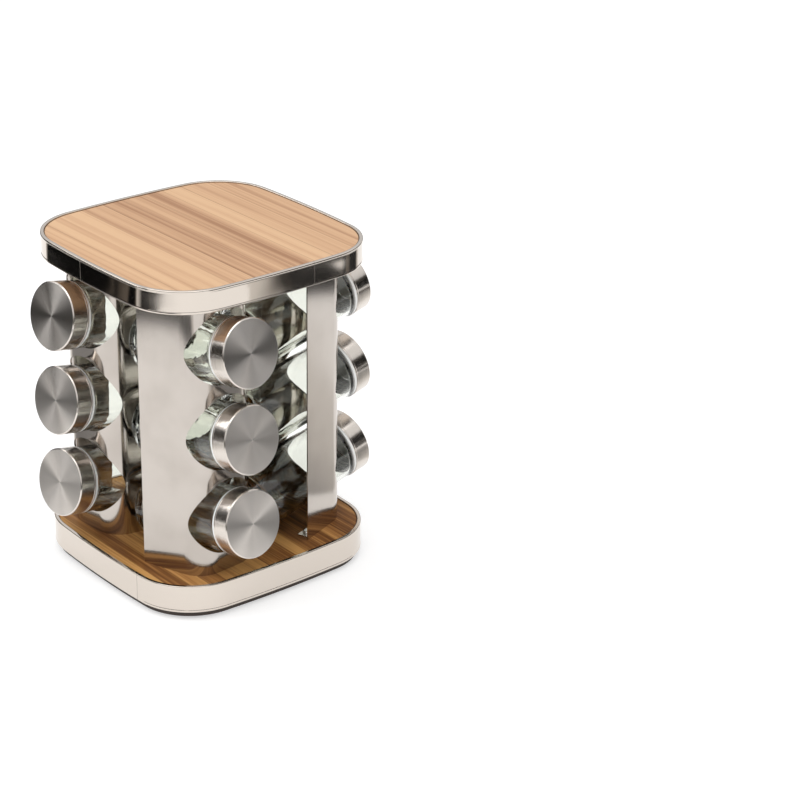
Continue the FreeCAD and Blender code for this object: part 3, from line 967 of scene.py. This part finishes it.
class SetStage(RackOperator, bpy.types.Operator):
    """Lay the floor, hang the lamps and dark cards, and place the camera"""
    bl_idname = "spice_rack.set_stage"
    bl_label = "Stage"

    def make(self):
        self.lay_floor()
        self.light_sky()
        self.hang_lamps()
        self.stand_cards()
        self.place_camera()
        bpy.context.scene.view_settings.view_transform = "Standard"

    def lay_floor(self):
        radius = rack_settings("rack_light").floor_radius
        rim = [(radius * math.cos(a), radius * math.sin(a), 0) for a in [math.pi * i / 48 for i in range(96)]]
        floor = bpy.data.objects.new("studio_floor", finished_mesh("studio_floor", rim, [list(range(96))]))
        floor.data.materials.append(floor_finish())
        bpy.context.scene.collection.objects.link(floor)

    def light_sky(self):
        world = bpy.data.worlds.new("studio_sky")
        bpy.context.scene.world = world
        sky = Finish("studio_sky", world)
        _, _, z = sky.split(sky.node("ShaderNodeTexCoord", output="Generated"))
        tone = sky.node("ShaderNodeValToRGB", {"stops": [
            (0.0, (0.10, 0.10, 0.10)), (0.49, (0.13, 0.125, 0.12)), (0.56, (0.12, 0.115, 0.11)),
            (0.66, (0.80, 0.80, 0.81)), (0.80, (1.0, 1.0, 1.0)), (1.0, (1.0, 1.0, 1.0))]},
            {"Fac": z * 0.5 + 0.5})
        strength = rack_settings("rack_light").sky
        lit = sky.node("ShaderNodeBackground", inputs={"Color": tone, "Strength": strength})
        seen = sky.node("ShaderNodeBackground", inputs={"Color": (1.0, 1.0, 1.0), "Strength": 1.0})
        straight = sky.node("ShaderNodeLightPath", output="Is Camera Ray")
        both = sky.node("ShaderNodeMixShader", inputs={0: straight, 1: lit, 2: seen})
        sky.node("ShaderNodeOutputWorld", inputs={"Surface": both})

    def hang_lamps(self):
        light = rack_settings("rack_light")
        lamps = [
            ("lamp_overhead", (0.1, -0.2, 1.25), 1.3, 1.0, light.key_power),
            ("lamp_side", (-0.9, -0.9, 0.9), 0.9, 0.6, light.side_power),
        ]
        for name, spot, width, depth, power in lamps:
            lamp = bpy.data.lights.new(name, "AREA")
            lamp.shape = "RECTANGLE"
            lamp.size = width
            lamp.size_y = depth
            lamp.energy = power
            piece = bpy.data.objects.new(name, lamp)
            bpy.context.scene.collection.objects.link(piece)
            piece.location = spot
            aim = Vector((0, 0, 0.1)) - Vector(spot)
            piece.rotation_euler = aim.to_track_quat("-Z", "Y").to_euler()

    def stand_cards(self):
        """Dark cards that only reflections see, so that the polished steel has something to show."""
        cards = [
            ("card_left", 0.006, [(0.42, 0.058), (0.42, 0.105)], -156, -108, 7),
            ("card_right", 0.03, [(0.42, 0.058), (0.42, 0.105)], 22, 84, 9),
            ("card_tall_left", 0.006, [(0.42, 0.112), (0.42, 0.30)], -184, -86, 5),
            ("card_tall_right", 0.006, [(0.42, 0.130), (0.42, 0.30)], -5, 96, 5),
            ("card_corner", 0.02, [(0.42, 0.052), (0.42, 0.088)], -112, -42, 12),
            ("card_floor_right", 0.26, [(0.17, 0.003), (0.56, 0.003)], 4, 70, 22),
            ("card_floor_left", 0.26, [(0.19, 0.003), (0.56, 0.003)], -166, -110, 20),
        ]
        for name, tone, profile, start, end, soft in cards:
            self.add_card(name, card_finish(name, tone, start, end, soft), profile, start, end)

    def add_card(self, name, material, profile, start, end, steps=16):
        """A card bent round the rack: its edges are (radius, height), its ends are angles in degrees."""
        turns = [math.radians(start + (end - start) * i / steps) for i in range(steps + 1)]
        verts = [(r * math.cos(t), r * math.sin(t), z) for r, z in profile for t in turns]
        faces = [[i, i + 1, i + steps + 2, i + steps + 1] for i in range(steps)]
        card = bpy.data.objects.new(name, finished_mesh(name, verts, faces))
        card.data.materials.append(material)
        bpy.context.scene.collection.objects.link(card)
        card.visible_camera = False
        card.visible_diffuse = False
        card.visible_shadow = False
        card.visible_transmission = False

    def place_camera(self):
        view = rack_settings("rack_camera")
        a, e = view.azimuth, view.elevation
        toward = Vector((math.sin(a), -math.cos(a), 0))
        right = Vector((math.cos(a), math.sin(a), 0))
        up = UP * math.cos(e) - toward * math.sin(e)
        ahead = -(toward * math.cos(e) + UP * math.sin(e))
        yaw = math.atan(view.aside)
        pitch = math.atan2(view.above, math.hypot(1, view.aside))
        deep = Vector((math.sin(yaw) * math.cos(pitch), math.sin(pitch), math.cos(yaw) * math.cos(pitch)))
        wide = Vector((math.cos(yaw), 0, -math.sin(yaw)))
        tall = deep.cross(wide)
        parts = (wide * math.cos(view.roll) + tall * math.sin(view.roll),
                 tall * math.cos(view.roll) - wide * math.sin(view.roll), deep)
        axes = [sum((old * part[i] for old, part in zip((right, up, ahead), parts)), Vector((0, 0, 0)))
                for i in range(3)]
        place = Matrix((axes[0], axes[1], -axes[2])).transposed().to_4x4()
        camera = bpy.data.objects.new("studio_camera", bpy.data.cameras.new("studio_camera"))
        camera.data.lens = view.focal_length
        camera.data.sensor_width = 36
        spot = UP * view.height - ahead * view.distance
        camera.matrix_world = Matrix.Translation(spot) @ place
        bpy.context.scene.collection.objects.link(camera)
        bpy.context.scene.camera = camera


OPERATORS = (
    MakeBands, FinishBoards, FinishPanels, MakeJars, MakeLids, MakeLiners, FinishTurntable, SetStage,
)


class RackPanel(bpy.types.Panel):
    """The rack's pieces, sizes and colours in the 3D view's sidebar"""
    bl_idname = "VIEW3D_PT_spice_rack"
    bl_label = "Spice Rack"
    bl_space_type = "VIEW_3D"
    bl_region_type = "UI"
    bl_category = "Spice Rack"

    def draw(self, context):
        for operator in OPERATORS:
            self.layout.operator(operator.bl_idname)
        for group, kind in GROUPS.items():
            box = self.layout.box()
            box.label(text=kind.__doc__)
            for field in kind.__annotations__:
                box.prop(getattr(context.scene, group), field)


def register():
    for kind in (*GROUPS.values(), *OPERATORS, RackPanel):
        bpy.utils.register_class(kind)
    for group, kind in GROUPS.items():
        setattr(bpy.types.Scene, group, PointerProperty(type=kind))


def unregister():
    for group in GROUPS:
        delattr(bpy.types.Scene, group)
    for kind in (RackPanel, *reversed(OPERATORS), *reversed(list(GROUPS.values()))):
        bpy.utils.unregister_class(kind)


def main():
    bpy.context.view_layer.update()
    register()
    for operator in OPERATORS:
        area, name = operator.bl_idname.split(".")
        getattr(getattr(bpy.ops, area), name)()
    bpy.context.view_layer.update()


if __name__ == "__main__":
    main()
